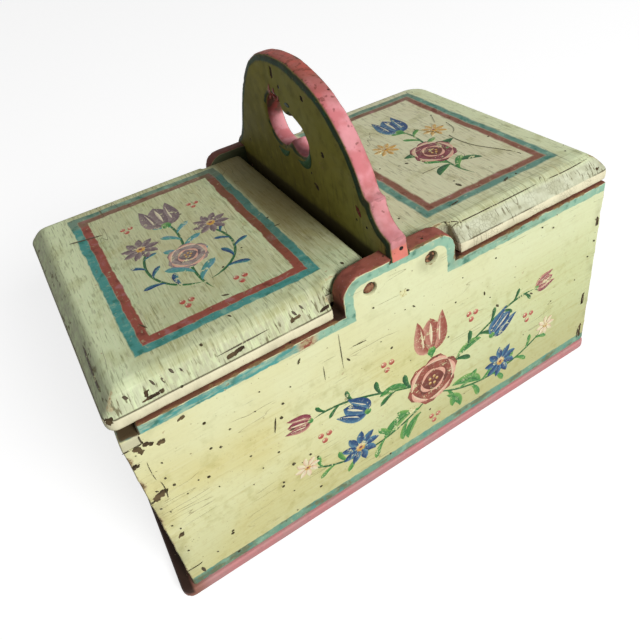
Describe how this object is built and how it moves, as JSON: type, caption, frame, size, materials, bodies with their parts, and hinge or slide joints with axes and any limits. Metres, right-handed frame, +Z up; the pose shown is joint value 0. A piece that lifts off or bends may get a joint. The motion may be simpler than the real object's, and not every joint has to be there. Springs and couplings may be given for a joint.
{
  "type": "sewing carrier",
  "caption": "Painted wooden sewing carrier: a box with an arched carrying handle across the middle and bevelled lids that swing up beside it on dowel pins.",
  "frame": {"origin": "under the middle of the box, between the lids' hinge axes, on the underside of the base board; the base board sticks out further at the left, so the bounding box's middle is 1.4 mm to the left of it", "axes": "+X along the length towards the right lid, +Y from the front board to the back board, +Z up"},
  "size_m": [0.3112, 0.188, 0.2355],
  "materials": {
    "body_paint": "worn pale yellow-green paint with teal stripes",
    "lid_paint": "worn pale green paint with a teal and rust-red border",
    "handle_paint": "worn pale green paint with a rose-red edge",
    "base_paint": "worn rose-red paint",
    "dowel_wood": "bare dark wood",
    "nail_iron": "dull rusty iron"
  },
  "bodies": {
    "box": {"base_board": "base_paint", "front_board": "body_paint", "back_board": "body_paint", "left_end_board": "body_paint", "right_end_board": "body_paint", "handle_board": "handle_paint", "base_nails": "nail_iron", "partition_nails": "nail_iron"},
    "left_lid": {"left_lid": "lid_paint", "left_front_hinge_pin": "dowel_wood", "left_back_hinge_pin": "dowel_wood"},
    "right_lid": {"right_lid": "lid_paint", "right_front_hinge_pin": "dowel_wood", "right_back_hinge_pin": "dowel_wood"}
  },
  "joints": [
    {"name": "left_lid_hinge", "type": "hinge", "parent": "box", "child": "left_lid", "pos_m": [-0.0188, 0, 0.145], "axis": [0, 1, 0], "range_deg": [0, 93]},
    {"name": "right_lid_hinge", "type": "hinge", "parent": "box", "child": "right_lid", "pos_m": [0.0188, 0, 0.145], "axis": [0, -1, 0], "range_deg": [0, 93]}
  ]
}
